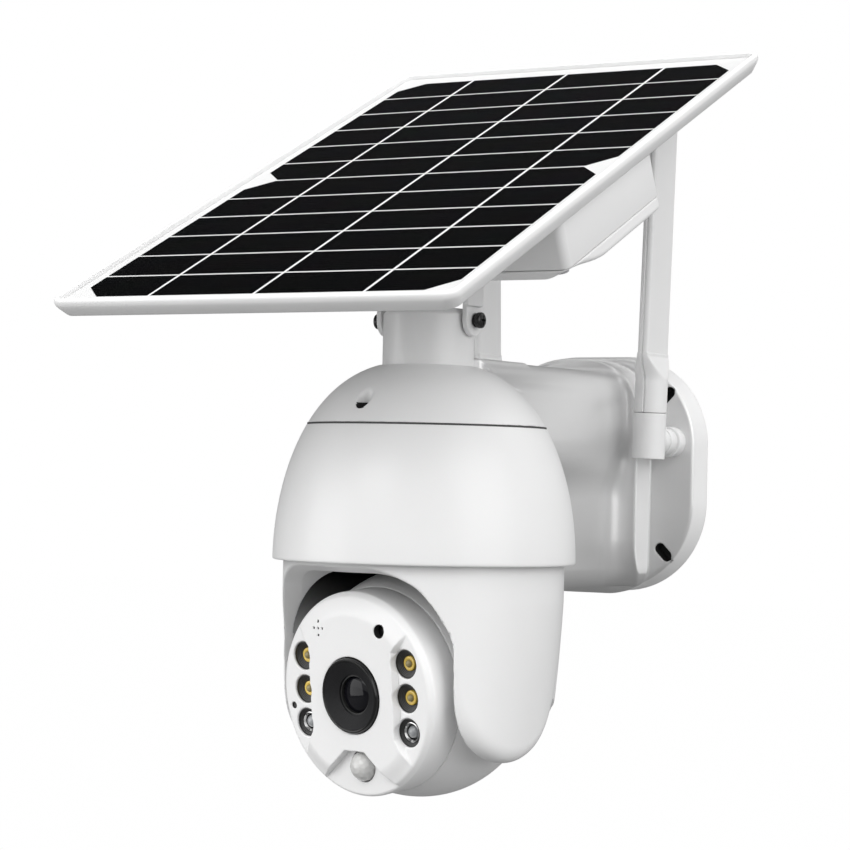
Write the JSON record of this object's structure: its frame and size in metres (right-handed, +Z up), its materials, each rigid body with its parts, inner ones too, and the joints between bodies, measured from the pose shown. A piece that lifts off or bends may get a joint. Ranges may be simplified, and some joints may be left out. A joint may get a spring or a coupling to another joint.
{
  "type": "solar-powered security camera",
  "caption": "Wall-mounted security camera with a pan and tilt ball head, a tilting solar panel with a battery box and two swinging antennas.",
  "frame": {"origin": "centre of the wall plate's back face, which lies on the wall", "axes": "+Z up along the wall, +Y into the wall, so the camera stands out towards -Y; +X is to the right when facing the wall"},
  "size_m": [0.169, 0.2739, 0.2978],
  "materials": {
    "white_plastic": "satin moulded ABS",
    "bracket_plastic": "glossy moulded ABS",
    "panel_plastic": "satin moulded frame",
    "antenna_plastic": "satin moulded",
    "inner_plastic": "plain moulded",
    "gear_plastic": "acetal",
    "black_plastic": "fine texture",
    "black_gloss": "glossy",
    "seal_rubber": "matt",
    "steel": "plated",
    "black_steel": "blackened",
    "brass": "plain",
    "circuit_board": "solder mask",
    "white_board": "white solder mask",
    "lens_glass": "coated",
    "cover_glass": "clear",
    "cell_silicon": "dark silicon",
    "ribbon": "tinned",
    "backsheet": "white film",
    "warm_led": "phosphor",
    "clear_led": "clear epoxy",
    "frosted_lens": "translucent",
    "battery_wrap": "shrink film"
  },
  "bodies": {
    "bracket": {"wall_bracket": "bracket_plastic", "bracket_back_cover": "inner_plastic", "cap_screw": "steel", "arm_screws": "steel", "housing_cap": "white_plastic", "housing_shroud": "white_plastic", "seam_seal": "seal_rubber", "neck_tube": "white_plastic", "neck_grommet": "seal_rubber", "hinge_screws": "black_steel", "hinge_washers": "black_steel", "housing_floor": "inner_plastic", "pan_bearing": "brass", "pan_motor": "steel", "speaker": "black_plastic", "main_board": "circuit_board", "radio_module": "steel", "antenna_connectors": "antenna_plastic"},
    "pan_drive": {"pan_pinion": "gear_plastic"},
    "pan": {"pan_housing": "white_plastic", "pan_top_plate": "black_plastic", "pan_gear": "gear_plastic", "pan_retainer": "steel", "tilt_gear_shaft": "gear_plastic", "tilt_stub_shaft": "gear_plastic"},
    "ball": {"ball_rear_shell": "white_plastic", "ball_front_cover": "white_plastic", "tilt_bushes": "brass", "tilt_motor": "steel", "lens_ring": "black_gloss", "lens_barrel": "black_plastic", "lens_glass": "lens_glass", "image_sensor_board": "circuit_board", "led_board": "white_board", "led_reflectors": "black_gloss", "white_leds": "warm_led", "infrared_leds": "clear_led", "motion_lens": "frosted_lens", "motion_sensor": "steel", "microphone": "black_plastic", "light_sensor": "black_gloss", "status_led": "black_plastic"},
    "tilt_drive": {"tilt_pinion": "gear_plastic"},
    "panel": {"panel_frame": "panel_plastic", "panel_glass": "cover_glass", "solar_cells": "cell_silicon", "cell_ribbons": "ribbon", "panel_backsheet": "backsheet", "battery_box": "panel_plastic", "battery_cover": "panel_plastic", "battery_cells": "battery_wrap", "battery_cradle": "black_plastic", "charge_board": "circuit_board", "cover_screws": "steel", "hinge_bracket": "panel_plastic"},
    "right_antenna": {"right_antenna_knuckle": "antenna_plastic", "right_antenna_blade": "antenna_plastic"},
    "left_antenna": {"left_antenna_knuckle": "antenna_plastic", "left_antenna_blade": "antenna_plastic"}
  },
  "joints": [
    {"name": "pan_turn", "type": "hinge", "parent": "bracket", "child": "pan", "pos_m": [0, -0.1481, -0.02], "axis": [0, 0, 1], "range_deg": [-165, 190]},
    {"name": "pan_pinion_turn", "type": "hinge", "parent": "bracket", "child": "pan_drive", "pos_m": [0, -0.1121, -0.0265], "axis": [0, 0, 1], "range_deg": [-952, 827]},
    {"name": "ball_tilt", "type": "hinge", "parent": "pan", "child": "ball", "pos_m": [0, -0.1481, -0.0815], "axis": [0.9789, -0.2045, 0], "range_deg": [-6.2, 80]},
    {"name": "tilt_pinion_turn", "type": "hinge", "parent": "ball", "child": "tilt_drive", "pos_m": [0.00366, -0.13058, -0.07956], "axis": [0.9789, -0.2045, 0], "range_deg": [-12.6, 160.5]},
    {"name": "panel_hinge", "type": "hinge", "parent": "bracket", "child": "panel", "pos_m": [0, -0.1481, 0.0563], "axis": [1, 0, 0], "range_deg": [-4, 45]},
    {"name": "right_antenna_swing", "type": "hinge", "parent": "bracket", "child": "right_antenna", "pos_m": [0.0387, -0.0342, 0.0135], "axis": [0, 1, 0], "range_deg": [-5, 90]},
    {"name": "left_antenna_swing", "type": "hinge", "parent": "bracket", "child": "left_antenna", "pos_m": [-0.0387, -0.0342, 0.0135], "axis": [0, -1, 0], "range_deg": [-5, 90]}
  ],
  "couplings": [
    {"joint": "pan_pinion_turn", "follows": "pan_turn", "ratio": -5},
    {"joint": "tilt_pinion_turn", "follows": "ball_tilt", "ratio": 2}
  ]
}
